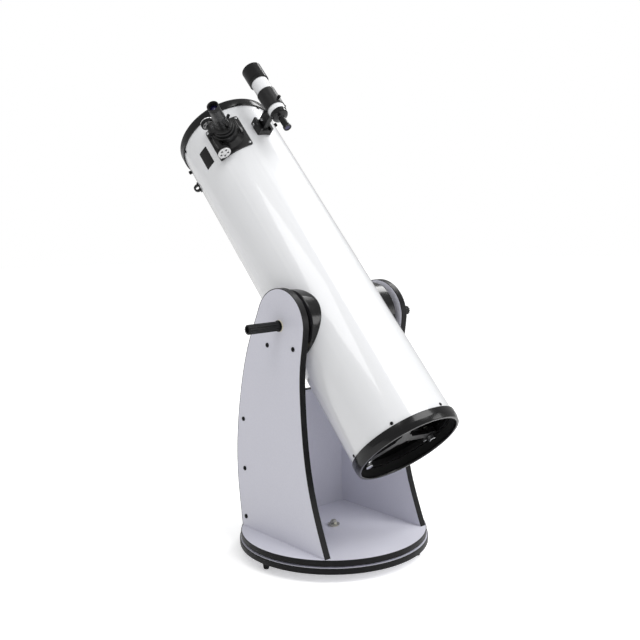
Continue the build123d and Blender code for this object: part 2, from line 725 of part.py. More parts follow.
def drawtube(place, rail_half):
    """The sliding tube with its clamp collar and the flat rail that the pinion rolls on."""
    low = tube_radius - 16
    collar_low = body_top + 0.4
    collar_high = collar_low + 9
    rail_top = pinion_offset - pinion_radius - running_gap
    pipe_body = pipe(drawtube_radius, drawtube_bore, low, collar_high)
    rail = block(-rail_half, rail_half, drawtube_radius - 1, rail_top, low, body_top - 1)
    grip = drawtube_radius + 4.5
    collar = turned((drawtube_bore, collar_low), (grip - 1.5, collar_low), (grip, collar_low + 1.5),
                    (grip, collar_high - 1.5), (grip - 1.5, collar_high), (drawtube_bore, collar_high))
    body = pipe_body + rail + collar
    clamp_z = (collar_low + collar_high) / 2
    clamps = []
    for turn in (90, -45):
        bore = Rot(0, 0, turn) * (Pos(0, 0, clamp_z) * (Rot(0, 90, 0) * rod(1.8 + screw_gap, 20, grip + 8.5)))
        body -= bore
        screw = Rot(0, 90, 0) * thumbscrew(4.5, 9, 1.8, grip + 3.5, drawtube_bore)
        clamps.append(Rot(0, 0, turn) * (Pos(0, 0, clamp_z) * screw))
    save("drawtube", body, place)

    seat = collar_high
    neck_top = seat + 28
    adapter = turned((barrel_radius + 0.06, seat - 20), (drawtube_bore - 0.1, seat - 20),
                     (drawtube_bore - 0.1, seat), (grip - 4, seat), (grip - 4, seat + 5), (grip - 6, seat + 7),
                     (20.5, seat + 8), (20, seat + 10), (20, neck_top - 1), (19, neck_top),
                     (barrel_radius + 0.06, neck_top))
    neck_z = seat + 17
    bore = Pos(0, 0, neck_z) * (Rot(0, 90, 0) * rod(1.8 + screw_gap, 12, 30))
    adapter -= Rot(0, 0, 202) * bore
    slot_low = (drawtube_bore - 3.0)
    for turn in (90, -45):
        dimple = Rot(0, 90, 0) * rod(2.2, slot_low, 40)
        adapter -= Rot(0, 0, turn) * (Pos(0, 0, clamp_z) * dimple)
    save("eyepiece_adapter", adapter, place)
    screw = Rot(0, 90, 0) * thumbscrew(4.5, 8, 1.8, 22.5, barrel_radius + 0.1)
    clamps.append(Rot(0, 0, 202) * (Pos(0, 0, neck_z) * screw))
    save("clamp_screws", clamps, place)
    eyepiece(place, neck_top)


def eyepiece(place, seat):
    """A 31.75 mm eyepiece: chromed barrel, body with a ribbed grip, cup and eye lens."""
    end = seat + eyepiece_length
    body = turned((13.5, seat - 26), (barrel_radius, seat - 26), (barrel_radius, seat),
                  (eyepiece_grip, seat), (eyepiece_grip + 0.6, seat + 1.5),
                  (eyepiece_grip + 0.6, seat + 24), (eyepiece_grip - 0.4, seat + 26),
                  (eyepiece_grip - 0.8, seat + 40), (eyepiece_top, end - 20),
                  (eyepiece_top, end - 14), (11, end - 14), (11, seat - 10), (13.5, seat - 10))
    for k in range(5):
        low = seat + 5 + 3.6 * k
        body -= pipe(eyepiece_grip + 3, eyepiece_grip - 0.2, low, low + 1.6)
    save("eyepiece_body", body, place)
    cup = turned((12.5, end - 14), (eyepiece_top, end - 14), (eyepiece_top + 0.4, end - 12),
                 (eyepiece_top + 0.4, end - 2), (eyepiece_top - 1.4, end), (14.2, end - 0.8),
                 (12.5, end - 5))
    save("eyepiece_cup", cup, place)
    lens = rod(11, end - 20, end - 14)
    crown = Pos(0, 0, end - 34) * Sphere(23)
    lens = lens + (rod(11, end - 14, end - 6) & crown)
    save("eyepiece_lens", lens, place)


# ---------------------------------------------------------------- finder
finder_rise = tube_radius + finder_stand
sleeve_rear = finder_station - 18
sleeve_front = sleeve_rear + sleeve_length
finder_play = 1.2            # gap between the finder's tube and the sleeve
dew_rear = sleeve_front + 44
finder_tail = sleeve_rear - 16
shoe_top = tube_radius + 23
shoe_floor = tube_radius + 6
foot_top = tube_radius + 15  # top of the bracket's dovetail foot, inside the shoe
foot_lock_height = tube_radius + 11


def dovetail(gap, low, high):
    """The dovetail's section, made along X for the shoe's length."""
    half = shoe_length / 2
    corners = [(-17 + gap, low), (17 - gap, low), (14 - gap, high), (-14 + gap, high)]
    section = make_face(Plane.YZ * Polyline(*corners, close=True))
    return Pos(-half - cut, 0, 0) * extrude(section, shoe_length + 2 * cut)


def finder_mount():
    """Shoe on the tube, and the bracket with its foot, stalk and sleeve."""
    place = TUBE * on_tube(finder_station, finder_angle)
    half = shoe_length / 2
    side = shoe_width / 2
    around = Rot(0, 90, 0) * rod(tube_radius, -60, 60)
    shoe = block(-half, half, -side, side, tube_radius - 12, shoe_top)
    shoe = fillet(shoe.edges().filter_by(Axis.Z), 2) - around
    shoe -= dovetail(0, shoe_floor, shoe_top + 0.001)
    for x in (-shoe_screw_x, shoe_screw_x):
        shoe -= rod(small_screw + screw_gap, tube_radius - 10, shoe_floor + cut, x)
        shoe -= rod(4, shoe_floor - 2.4, shoe_floor + cut, x)
    shoe_bolt = Pos(6, 0, foot_lock_height) * (Rot(-90, 0, 0) * rod(2 + screw_gap, 10, 40))
    save("finder_shoe", shoe - shoe_bolt, place)

    length = block(-half, half, -60, 60, shoe_floor - 5, foot_top)
    foot = dovetail(screw_gap, shoe_floor + screw_gap, shoe_top + screw_gap) & length
    stalk = block(-17, 17, -9, 9, foot_top - 2, finder_rise - sleeve_radius + 6)
    stalk = fillet(stalk.edges().filter_by(Axis.Z), 4)
    sleeve = pipe(sleeve_radius, finder_radius + finder_play, sleeve_rear - finder_station,
                  sleeve_front - finder_station)
    across = Rot(0, 90, 0)
    lift = Pos(0, 0, finder_rise)
    bracket = foot + stalk + lift * (across * sleeve)
    bracket -= lift * (across * rod(finder_radius + finder_play, -60, 80))
    seat_x = sleeve_rear + 12 - finder_station
    for turn in (0, 90):
        bore = Rot(turn, 0, 0) * rod(2 + screw_gap, 20, 40)
        bracket -= Pos(seat_x, 0, finder_rise) * bore
    plunger = Rot(225, 0, 0) * rod(4 + screw_gap, 20, 40)
    bracket -= Pos(seat_x, 0, finder_rise) * plunger
    stalk_bolt = Pos(4, 0, tube_radius + 31) * (Rot(-90, 0, 0) * rod(2.5 + screw_gap, 2, 20))
    bracket -= stalk_bolt
    dent = Pos(6, 0, foot_lock_height) * (Rot(-90, 0, 0) * rod(2.4, 13, 40))
    save("finder_bracket", bracket - dent, place)

    touch = finder_radius + finder_play - 0.2
    screws = []
    for turn in (0, 90):
        aim = thumbscrew(4.5, 7, 2, sleeve_radius + 4, touch)
        screws.append(Pos(seat_x, 0, finder_rise) * (Rot(turn, 0, 0) * aim))
    spring_box = rod(4, touch, sleeve_radius + 8)
    spring_box = fillet(spring_box.edges().group_by(Axis.Z)[-1], 1)
    screws.append(Pos(seat_x, 0, finder_rise) * (Rot(225, 0, 0) * spring_box))
    lock = Rot(-90, 0, 0) * thumbscrew(4.5, 9, 1.6, pinion_offset + 9, pinion_offset - 2)
    lock = on_tube(focuser_station, focuser_angle) * (Pos(14, 0, pinion_z - 8.5) * lock)
    to_tube = on_tube(finder_station, finder_angle)
    save("hand_screws", [to_tube * screw for screw in screws] + [lock], TUBE)
    foot_lock = Pos(6, 0, foot_lock_height) * (Rot(-90, 0, 0) * thumbscrew(5, 7, 2, side + 2, 14))
    pin = Pos(4, 0, tube_radius + 31) * (Rot(-90, 0, 0) * pan_screw(4.6, 2.6, 2.5, 9, 3))
    floor_screws = [Pos(x, 0, 0) * pan_screw(3.4, 2, small_screw, shoe_floor - 2.3, tube_inner - 5)
                    for x in (-shoe_screw_x, shoe_screw_x)]
    save("finder_mount_screws", [foot_lock, pin] + floor_screws, place)


def finder_scope():
    """The small refractor: dew shield, tube, objective and eyepiece end."""
    out = (cos(radians(finder_angle)), sin(radians(finder_angle)), 0)
    centre = (finder_rise * out[0], finder_rise * out[1], 0)
    place = TUBE * Plane(origin=centre, x_dir=out, z_dir=(0, 0, 1)).location
    tube_end = dew_rear + 9
    body = pipe(finder_radius, finder_radius - finder_wall, finder_tail, tube_end)
    save("finder_tube", body, place)
    dew_front = dew_rear + dew_length
    shield = turned((finder_radius, dew_rear), (dew_radius - 1.5, dew_rear), (dew_radius, dew_rear + 2),
                    (dew_radius, dew_front - 1), (dew_radius - 1, dew_front),
                    (dew_radius - 1.6, dew_front), (dew_radius - 1.6, tube_end + 8),
                    (finder_radius, tube_end + 8))
    shield -= pipe(dew_radius + 3, dew_radius - 0.6, dew_rear + 8, dew_rear + 9.2)
    save("finder_dew_shield", shield, place)
    lens = rod(finder_radius, tube_end, tube_end + 8)
    lens = lens & (Pos(0, 0, tube_end + 8 - 110) * Sphere(110))
    tail = finder_tail
    housing = turned((finder_radius - finder_wall, tail + 6), (8, tail + 6), (8, tail - 60), (11.4, tail - 60),
                     (12, tail - 58), (12, tail - 53.5), (9.8, tail - 53), (9.4, tail - 20),
                     (11, tail - 19), (15, tail - 17.5), (22, tail - 15), (23.6, tail - 12),
                     (23.6, tail - 2), (finder_radius, tail), (finder_radius - finder_wall, tail))
    save("finder_eyepiece", housing, place)
    eye = rod(8, tail - 59, tail - 54)
    save("finder_lenses", [lens, eye], place)


ground()
pivot()
rocker()
handles()
tube()
rings()
bearings()
tube_screws()
loop()
mirror_cell()
spider()
secondary()
focuser()
finder_mount()
finder_scope()
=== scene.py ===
# %% [markdown]
# # A reflecting telescope on a rocker box
#
# The real thing is a rolled steel tube with a large mirror at its lower end. It nods on two plastic
# bearings in a box of laminated board, and the box turns on a round board that stands on three feet.
# The engineering model already holds every piece at its true size and place, in metres. This lesson
# gives each piece its finish, and remakes in Blender the pieces whose look needs a finer mesh:
# grips, knobs, screws, springs, edge bands and the rings on the tube's ends.

# %% Load the frame
import json
import math

import bmesh
import bpy
from mathutils import Matrix, Vector


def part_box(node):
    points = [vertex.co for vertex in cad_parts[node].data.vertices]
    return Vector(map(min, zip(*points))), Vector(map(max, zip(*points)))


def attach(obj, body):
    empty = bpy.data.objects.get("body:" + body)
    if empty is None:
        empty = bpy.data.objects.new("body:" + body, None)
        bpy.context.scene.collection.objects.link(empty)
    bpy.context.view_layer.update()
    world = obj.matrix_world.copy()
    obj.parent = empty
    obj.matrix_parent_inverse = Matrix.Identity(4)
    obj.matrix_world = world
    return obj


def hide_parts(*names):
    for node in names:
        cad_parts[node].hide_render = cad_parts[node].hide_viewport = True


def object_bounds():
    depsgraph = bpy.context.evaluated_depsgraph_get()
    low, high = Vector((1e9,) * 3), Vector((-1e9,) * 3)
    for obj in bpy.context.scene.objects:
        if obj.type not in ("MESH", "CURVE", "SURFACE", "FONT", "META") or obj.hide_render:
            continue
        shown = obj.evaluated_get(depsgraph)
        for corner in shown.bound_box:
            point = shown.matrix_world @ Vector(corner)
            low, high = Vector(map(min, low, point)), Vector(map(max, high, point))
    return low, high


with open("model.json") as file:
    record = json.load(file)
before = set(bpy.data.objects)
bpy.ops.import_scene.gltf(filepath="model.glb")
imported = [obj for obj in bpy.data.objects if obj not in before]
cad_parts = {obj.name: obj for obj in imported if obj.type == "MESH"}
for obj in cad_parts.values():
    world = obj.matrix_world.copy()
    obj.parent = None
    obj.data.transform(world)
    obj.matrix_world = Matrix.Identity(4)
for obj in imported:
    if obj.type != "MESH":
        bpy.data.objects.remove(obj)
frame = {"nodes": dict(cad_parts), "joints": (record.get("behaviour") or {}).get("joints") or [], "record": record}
nodes = frame["nodes"]
cad_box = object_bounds()
MM = 0.001

# %% [markdown]
# ## Where the tube is
#
# Most pieces sit round the tube, so it helps to think in the tube's own directions. The altitude
# joint gives a point on the tube's axis, and the slide of the mirror's carrier runs along the tube.
# Together they make one matrix: its Z runs along the tube towards the sky, and its X is the
# altitude axis. Every radius and station below is measured in that frame.

# %% The tube's own directions
joints = {joint["name"]: joint for joint in frame["joints"]}
pivot = Vector(joints["altitude"]["pos_m"])
skyward = Vector(joints["mirror_travel"]["axis"]).normalized()
sideways = Vector((1, 0, 0))


def basis(origin, x_dir, z_dir):
    """A matrix whose X and Z point along these directions."""
    z = z_dir.normalized()
    x = (x_dir - z * x_dir.dot(z)).normalized()
    turn = Matrix((x, z.cross(x), z)).transposed()
    return Matrix.Translation(origin) @ turn.to_4x4()


TUBE = basis(pivot, sideways, skyward)
print("the tube points", round(math.degrees(math.asin(skyward.z)), 1), "degrees above the horizon")


# %% [markdown]
# ## Small helpers
#
# Colours are written as the hex codes that a paint chart gives, and one function turns them into
# the linear numbers that shaders use. Shader trees and geometry trees take nodes in the same way,
# so one function adds a node with its settings and links to either.

# %% Colour and node helpers
def colour(hex_code):
    """The linear colour of an sRGB hex code."""
    channels = [int(hex_code[i:i + 2], 16) / 255 for i in (1, 3, 5)]
    linear = [c / 12.92 if c <= 0.04045 else ((c + 0.055) / 1.055) ** 2.4 for c in channels]
    return (*linear, 1.0)


def add(tree, kind, inputs=None, **settings):
    """Adds a node. An input's value is a number, a colour, an object or a socket to link from."""
    made = tree.nodes.new(kind)
    for name, value in settings.items():
        setattr(made, name, value)
    for name, value in (inputs or {}).items():
        if isinstance(value, bpy.types.NodeSocket):
            tree.links.new(value, made.inputs[name])
        else:
            made.inputs[name].default_value = value
    return made


# %% [markdown]
# ## Building blocks of a finish
#
# Paint, plastic and metal all start from the Principled shader. Three things then make them look
# made rather than drawn: roughness that wanders a little, a relief of the right grain size, and
# edges that catch the light because no real edge is knife sharp. Each block takes its size in
# millimetres, so the grain stays true whatever the object's size.

# %% Blocks for materials
def start(name, hex_code, **sockets):
    """A new material with a Principled shader. Sockets are given by name, with _ for a space."""
    material = bpy.data.materials.new(name)
    material.use_nodes = True
    tree = material.node_tree
    tree.nodes.clear()
    values = {key.replace("_", " "): value for key, value in sockets.items()}
    shader = add(tree, "ShaderNodeBsdfPrincipled", {"Base Color": colour(hex_code), **values})
    add(tree, "ShaderNodeOutputMaterial", {"Surface": shader.outputs[0]})
    place = add(tree, "ShaderNodeTexCoord")
    return material, tree, shader, place.outputs["Object"]


def grain(tree, where, size_mm, detail=2.0):
    """A noise pattern whose lumps are about this size."""
    noise = add(tree, "ShaderNodeTexNoise",
                {"Vector": where, "Scale": 1 / (size_mm * MM), "Detail": detail})
    return noise.outputs["Fac"]


def spread(tree, value, low, high):
    """Stretches a noise value so that its usual range runs from low to high."""
    ranged = add(tree, "ShaderNodeMapRange",
                 {"Value": value, "From Min": 0.3, "From Max": 0.7, "To Min": low, "To Max": high})
    return ranged.outputs["Result"]


def relief(tree, shader, height, depth_mm, edge_mm=0.5):
    """Raises the surface by a pattern, and rounds the edges by this radius."""
    rounded = add(tree, "ShaderNodeBevel", {"Radius": edge_mm * MM}, samples=4)
    bump = add(tree, "ShaderNodeBump",
               {"Height": height, "Distance": depth_mm * MM, "Strength": 1.0,
                "Normal": rounded.outputs[0]})
    tree.links.new(bump.outputs[0], shader.inputs["Normal"])


def own_place(tree, where, axis_frame):
    """The surface's place in a frame's own directions."""
    own = axis_frame.inverted()
    turned = add(tree, "ShaderNodeMapping",
                 {"Vector": where, "Location": own.to_translation(), "Rotation": own.to_euler()})
    return turned.outputs[0]


def worn_edges(tree, edge_mm):
    """White where an edge is, from how far a rounded normal turns away from the true one."""
    rounded = add(tree, "ShaderNodeBevel", {"Radius": edge_mm * MM}, samples=4)
    true = add(tree, "ShaderNodeNewGeometry")
    same = add(tree, "ShaderNodeVectorMath",
               {0: rounded.outputs[0], 1: true.outputs["Normal"]}, operation="DOT_PRODUCT")
    ranged = add(tree, "ShaderNodeMapRange",
                 {"Value": same.outputs["Value"], "From Min": 0.98, "From Max": 0.8,
                  "To Min": 0.0, "To Max": 1.0})
    return ranged.outputs["Result"]


def mixed(tree, factor, first, second):
    """A colour that runs from the first hex code to the second."""
    mix = add(tree, "ShaderNodeMix", {"Factor": factor, 6: colour(first), 7: colour(second)},
              data_type="RGBA")
    return mix.outputs[2]


# %% [markdown]
# ## White stoved enamel
#
# The tube and the finder are sheet steel with gloss enamel, sprayed and baked. Sprayed paint keeps
# a faint orange peel, lumps a few millimetres wide and hundredths of a millimetre high, which
# breaks up a reflection's edge. A clear coat layer gives the sharp highlight over the white body.
# The inside of the tube is sprayed matt black to swallow stray light. One material can do both:
# a Mapping node turns the surface's place into the tube's own directions, and the distance from
# the axis says which side of the sheet is meant.

# %% White enamel, black inside
def white_enamel(name, axis_frame, skin_radius):
    """Gloss white outside this radius from the frame's Z axis, and matt black inside it."""
    material, tree, shader, where = start(name, "#F1F2F4", Roughness=0.3, Coat_Weight=1.0,
                                          Coat_Roughness=0.04)
    flat = add(tree, "ShaderNodeVectorMath", {0: own_place(tree, where, axis_frame), 1: (1, 1, 0)},
               operation="MULTIPLY")
    radius = add(tree, "ShaderNodeVectorMath", {0: flat.outputs[0]}, operation="LENGTH")
    outside = add(tree, "ShaderNodeMath", {0: radius.outputs["Value"], 1: skin_radius},
                  operation="GREATER_THAN").outputs[0]
    tree.links.new(mixed(tree, outside, "#0B0B0C", "#F1F2F4"), shader.inputs["Base Color"])
    rough = add(tree, "ShaderNodeMapRange", {"Value": outside, "To Min": 0.9, "To Max": 0.3})
    tree.links.new(rough.outputs[0], shader.inputs["Roughness"])
    tree.links.new(outside, shader.inputs["Coat Weight"])
    relief(tree, shader, grain(tree, where, 5.0), 0.03)
    return material


# %% [markdown]
# ## Laminated board
#
# The box is chipboard faced with melamine laminate. The print layer under the melamine is a pale
# cool white, and the press plate leaves a satin skin with pearl-like mottling about a millimetre
# wide. That is too fine to show here, so it is drawn at four millimetres and kept very faint.

# %% Melamine laminate
def melamine(name):
    """Satin laminate with a faint mottle in colour and gloss."""
    material, tree, shader, where = start(name, "#DDDDE7", Roughness=0.4)
    mottle = grain(tree, where, 4.0, detail=4.0)
    tree.links.new(mixed(tree, mottle, "#D9D9E4", "#E3E3ED"), shader.inputs["Base Color"])
    tree.links.new(spread(tree, mottle, 0.36, 0.46), shader.inputs["Roughness"])
    relief(tree, shader, mottle, 0.01, edge_mm=0.4)
    return material


# %% [markdown]
# ## Moulded and extruded plastics
#
# Edge band, rings, grips and feet are all black, but they don't look alike. Extruded band is
# satin, the moulded rings copy a polished steel mould and are glossy, and the grips are softer and
# duller. So one function makes them all, from a gloss, a grain and how pale a rubbed edge turns.

# %% Plastics, rubber and nylon
def plastic(name, hex_code, rough, grain_mm, depth_mm, rubbed=None, **sockets):
    """A plastic with a grain, and with edges that rub to a second colour if one is given."""
    material, tree, shader, where = start(name, hex_code, Roughness=rough, **sockets)
    texture = grain(tree, where, grain_mm, detail=3.0)
    tree.links.new(spread(tree, texture, rough * 0.85, rough * 1.15), shader.inputs["Roughness"])
    if rubbed:
        smear = grain(tree, where, 25.0)
        wear = add(tree, "ShaderNodeMath", {0: worn_edges(tree, 0.6), 1: smear},
                   operation="MULTIPLY").outputs[0]
        tree.links.new(mixed(tree, wear, hex_code, rubbed), shader.inputs["Base Color"])
    relief(tree, shader, texture, depth_mm)
    return material


# %% [markdown]
# ## Painted castings
#
# The focuser, the mirror cell and the finder's shoe are die-cast aluminium under satin black powder
# coat. Powder melts into a skin that is pebbled rather than smooth, with pits about a millimetre
# across. Rubbed edges go grey where the metal starts to shine through.

# %% Powder coat and blackened steel
def powder_coat(name, hex_code, rough):
    """Satin powder coat with pebbles and greyed edges."""
    material, tree, shader, where = start(name, hex_code, Roughness=rough)
    pebbles = add(tree, "ShaderNodeTexVoronoi", {"Vector": where, "Scale": 1 / (1.6 * MM)})
    height = add(tree, "ShaderNodeMath", {0: pebbles.outputs["Distance"], 1: grain(tree, where, 4.0)},
                 operation="ADD").outputs[0]
    wear = add(tree, "ShaderNodeMath", {0: worn_edges(tree, 0.5), 1: 0.6}, operation="MULTIPLY")
    tree.links.new(mixed(tree, wear.outputs[0], hex_code, "#4A4B4D"), shader.inputs["Base Color"])
    relief(tree, shader, height, 0.04)
    return material


# %% [markdown]
# ## Bare metals
#
# Zinc plate is a soft grey with a cloudy shine, chrome is a mirror with a dark sheen, and a turned
# aluminium knob shows the rings that the cutting tool left. Real turning marks are a tenth of a
# millimetre apart. They are drawn 4.4 mm apart so that they show, and run round the knob's axis.

# %% Metals
WAVE_PHASE = 20  # radians of the wave texture in one unit at scale 1


def metal(name, hex_code, rough, cloud_mm):
    """A metal whose roughness drifts in clouds of this size."""
    material, tree, shader, where = start(name, hex_code, Metallic=1.0, Roughness=rough)
    cloud = grain(tree, where, cloud_mm, detail=4.0)
    tree.links.new(spread(tree, cloud, rough * 0.75, rough * 1.3), shader.inputs["Roughness"])
    relief(tree, shader, cloud, 0.004, edge_mm=0.25)
    return material


def turned_metal(name, hex_code, rough, axis_frame, ring_mm):
    """A metal with rings of this spacing round the frame's Z axis. A frosted face scatters much
    of its light, so it is only half metallic."""
    material, tree, shader, where = start(name, hex_code, Metallic=0.5, Roughness=rough)
    rings = add(tree, "ShaderNodeTexWave",
                {"Vector": own_place(tree, where, axis_frame), "Distortion": 0.0,
                 "Scale": math.tau / (WAVE_PHASE * ring_mm * MM)},
                wave_type="RINGS", rings_direction="Z")
    relief(tree, shader, rings.outputs["Fac"], 0.01, edge_mm=0.3)
    return material


# %% [markdown]
# ## Glass
#
# Both mirrors are glass with aluminium on the front face, so they reflect before the light reaches
# the glass, and a metal shader with almost no roughness is the honest model. The lenses are clear
# glass. Their anti-reflection coat throws back violet, which a tinted body colour imitates.

# %% Mirrors and lenses
def silvered(name):
    """A front-silvered mirror with a little dust."""
    material, tree, shader, where = start(name, "#EEF0F3", Metallic=1.0, Roughness=0.02)
    dust = grain(tree, where, 3.0, detail=6.0)
    tree.links.new(spread(tree, dust, 0.012, 0.04), shader.inputs["Roughness"])
    return material


def coated_lens(name):
    """Lens glass with a violet coat."""
    material, tree, shader, where = start(name, "#2A2344", Roughness=0.03, IOR=1.52,
                                          Transmission_Weight=0.4, Coat_Weight=1.0,
                                          Coat_Roughness=0.02, Coat_Tint=colour("#9D93E6"))
    dust = grain(tree, where, 2.0, detail=6.0)
    tree.links.new(spread(tree, dust, 0.02, 0.05), shader.inputs["Roughness"])
    return material


# %% [markdown]
# ## One finish for each slot
#
# The record names a material slot for every piece. A dictionary from slot to finish then dresses
# the whole model in one loop, and the pieces made later pick from the same dictionary.

# %% Dress every piece
focus_axis = basis(Vector(joints["focus_turn"]["pos_m"]), sideways,
                   Vector(joints["focus_turn"]["axis"]))
tube_skin = 143.4 * MM
finish = {
    "white_laminate": melamine("melamine_laminate_cool_white"),
    "black_edging": plastic("extruded_edge_band_black", "#08080A", 0.4, 3.0, 0.02, "#242426",
                            Specular_IOR_Level=0.25),
    "foot_rubber": plastic("moulded_rubber_black", "#141414", 0.7, 1.5, 0.05, "#2C2B2A"),
    "ptfe": plastic("skived_ptfe_sheet", "#EBE9E2", 0.35, 2.0, 0.01),
    "nylon": plastic("turned_nylon_natural", "#E2DBC4", 0.38, 2.0, 0.01),
    "zinc_steel": metal("zinc_plated_steel", "#B9B8AF", 0.34, 6.0),
    "black_screws": metal("black_oxide_steel", "#222223", 0.36, 3.0),
    "white_enamel": white_enamel("stoved_enamel_white", TUBE, tube_skin),
    "gloss_black_plastic": plastic("polished_abs_black", "#060607", 0.22, 12.0, 0.02, "#1E1E20",
                                   Specular_IOR_Level=0.35, Coat_Weight=0.25, Coat_Roughness=0.08),
    "grip_plastic": plastic("soft_grip_plastic_black", "#0A0A0B", 0.42, 1.2, 0.03, "#2A2A2C",
                            Specular_IOR_Level=0.35),
    "black_casting": powder_coat("powder_coated_casting_black", "#0C0C0D", 0.38),
    "black_steel": powder_coat("matt_black_sheet_steel", "#0E0E0F", 0.5),
    "silvered_glass": silvered("first_surface_mirror"),
    "lens_glass": coated_lens("coated_lens_glass"),
    "chrome": metal("bright_chrome_plate", "#E4E5E7", 0.09, 8.0),
    "silver_knobs": turned_metal("turned_aluminium_bright", "#ECECEC", 0.3, focus_axis, 4.398),
    "eyepiece_black": plastic("hard_anodised_black", "#0C0C0E", 0.28, 2.5, 0.01, "#3C3C40",
                              Specular_IOR_Level=0.7),
    "eyecup_rubber": plastic("eyecup_rubber_black", "#121212", 0.62, 1.2, 0.03, "#262626"),
}
slot_of = {part["node"]: part["material_slot"] for part in frame["record"]["subparts"]}
for name, thing in nodes.items():
    thing.data.materials.clear()
    thing.data.materials.append(finish[slot_of[name]])
print("dressed", len(nodes), "pieces in", len(finish), "finishes")

# %% [markdown]
# ## Pieces that repeat: a tree for fixings
#
# The telescope is held together by small screws that all look alike, so one screw is modelled and
# Geometry Nodes set a copy on every seat. The seats are a mesh of loose points, and each point
# carries the direction that its screw faces. A tree with named inputs can be reused for any screw,
# and realising the copies at its end turns them into plain mesh that exports anywhere.

# %% Helpers for meshes and trees
def new_object(name, data):
    """An object of this mesh, light or camera, linked into the scene."""
    thing = bpy.data.objects.new(name, data)
    bpy.context.scene.collection.objects.link(thing)
    return thing


def from_points(name, points, edges=(), faces=()):
    """An object from a list of points, and from the edges or faces between them."""
    data = bpy.data.meshes.new(name)
    data.from_pydata([tuple(point) for point in points], edges, faces)
    return new_object(name, data)


def from_bmesh(name, build):
    """An object from an edit mesh, which is freed."""
    data = bpy.data.meshes.new(name)
    build.to_mesh(data)
    build.free()
    return new_object(name, data)


def new_tree(name, sizes):
    """A geometry tree with a geometry input and output, and these named inputs."""
    kinds = {int: "NodeSocketInt", float: "NodeSocketFloat", "object": "NodeSocketObject",
             "material": "NodeSocketMaterial", "geometry": "NodeSocketGeometry"}
    tree = bpy.data.node_groups.new(name, "GeometryNodeTree")
    for label, kind in {"Geometry": "geometry", **sizes, "Material": "material"}.items():
        tree.interface.new_socket(label, in_out="INPUT", socket_type=kinds[kind])
    tree.interface.new_socket("Geometry", in_out="OUTPUT", socket_type=kinds["geometry"])
    return tree, add(tree, "NodeGroupInput").outputs


def end_tree(tree, geometry, given):
    """Every tree ends alike: real mesh, with its material."""
    real = add(tree, "GeometryNodeRealizeInstances", {"Geometry": geometry})
    painted = add(tree, "GeometryNodeSetMaterial",
                  {"Geometry": real.outputs[0], "Material": given["Material"]})
    add(tree, "NodeGroupOutput", {"Geometry": painted.outputs[0]})


def smooth(data, angle=40):
    """Smooth shading, with edges sharper than this angle left crisp."""
    data.polygons.foreach_set("use_smooth", [True] * len(data.polygons))
    data.set_sharp_from_angle(angle=math.radians(angle))


def grown(name, source, tree, values, place=None, angle=40):
    """Runs a tree on an object and keeps the result as one plain mesh, put in its place."""
    modifier = source.modifiers.new(tree.name, "NODES")
    modifier.node_group = tree
    for item in tree.interface.items_tree:
        if item.in_out == "INPUT" and item.name in values:
            modifier[item.identifier] = values[item.name]
    evaluated = source.evaluated_get(bpy.context.evaluated_depsgraph_get())
    data = bpy.data.meshes.new_from_object(evaluated)
    bpy.data.objects.remove(source)
    data.name = name
    if place:
        data.transform(place)
    smooth(data, angle)
    print(name, len(data.polygons), "faces")
    return new_object(name, data)


def fit_in(piece, body, slot_name, *stands_for):
    """Parents a piece to its body, gives it the slot's finish if bare, and hides the nodes it stands for."""
    if not piece.data.materials:
        piece.data.materials.append(finish[slot_name])
    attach(piece, body)
    if stands_for:
        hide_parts(*stands_for)


# %% The tree that seats fixings
fixing_tree, given = new_tree("seated_fixings", {"Fixing": "object"})
one_fixing = add(fixing_tree, "GeometryNodeObjectInfo", {"Object": given["Fixing"]})
facing = add(fixing_tree, "GeometryNodeInputNamedAttribute", {"Name": "outwards"},
             data_type="FLOAT_VECTOR")
turned = add(fixing_tree, "FunctionNodeAlignRotationToVector",
             {"Vector": facing.outputs["Attribute"]}, axis="Z")
seated = add(fixing_tree, "GeometryNodeInstanceOnPoints",
             {"Points": given["Geometry"], "Instance": one_fixing.outputs["Geometry"],
              "Rotation": turned.outputs[0]})
end_tree(fixing_tree, seated.outputs[0], given)


# %% [markdown]
# ## Turned bodies
#
# A screw's head, a grip and a knob are all bodies of revolution. A profile is a list of corners,
# radius and height, and spinning it round Z gives the body. Where two points of the profile lie on
# the axis the spin leaves doubled points, so they are merged before the normals are set.

# %% Spin a profile
def spun(name, corners_mm, steps=32):
    """A closed body of revolution round Z, from (radius, height) corners in millimetres."""
    build = bmesh.new()
    ring = [build.verts.new((radius * MM, 0, height * MM)) for radius, height in corners_mm]
    edges = [build.edges.new((ring[k], ring[(k + 1) % len(ring)])) for k in range(len(ring))]
    bmesh.ops.spin(build, geom=ring + edges, cent=(0, 0, 0), axis=(0, 0, 1),
                   angle=2 * math.pi, steps=steps, use_merge=True)
    bmesh.ops.remove_doubles(build, verts=build.verts, dist=0.01 * MM)
    bmesh.ops.recalc_face_normals(build, faces=build.faces)
    return from_bmesh(name, build)


def cut_by(thing, cutter):
    """Takes the cutter's shape out of a thing, for good."""
    modifier = thing.modifiers.new("cut", "BOOLEAN")
    modifier.object = cutter
    modifier.solver = "EXACT"
    modifier.use_self = True
    evaluated = thing.evaluated_get(bpy.context.evaluated_depsgraph_get())
    data = bpy.data.meshes.new_from_object(evaluated)
    thing.modifiers.clear()
    thing.data = data
    bpy.data.objects.remove(cutter)
    return thing


def prism(name, outline_mm, low_mm, high_mm):
    """A straight prism along Z from an outline in millimetres."""
    count = len(outline_mm)
    points = [(x * MM, y * MM, z * MM) for z in (low_mm, high_mm) for x, y in outline_mm]
    sides = [(k, (k + 1) % count, count + (k + 1) % count, count + k) for k in range(count)]
    caps = [tuple(reversed(range(count))), tuple(range(count, 2 * count))]
    return from_points(name, points, faces=sides + caps)


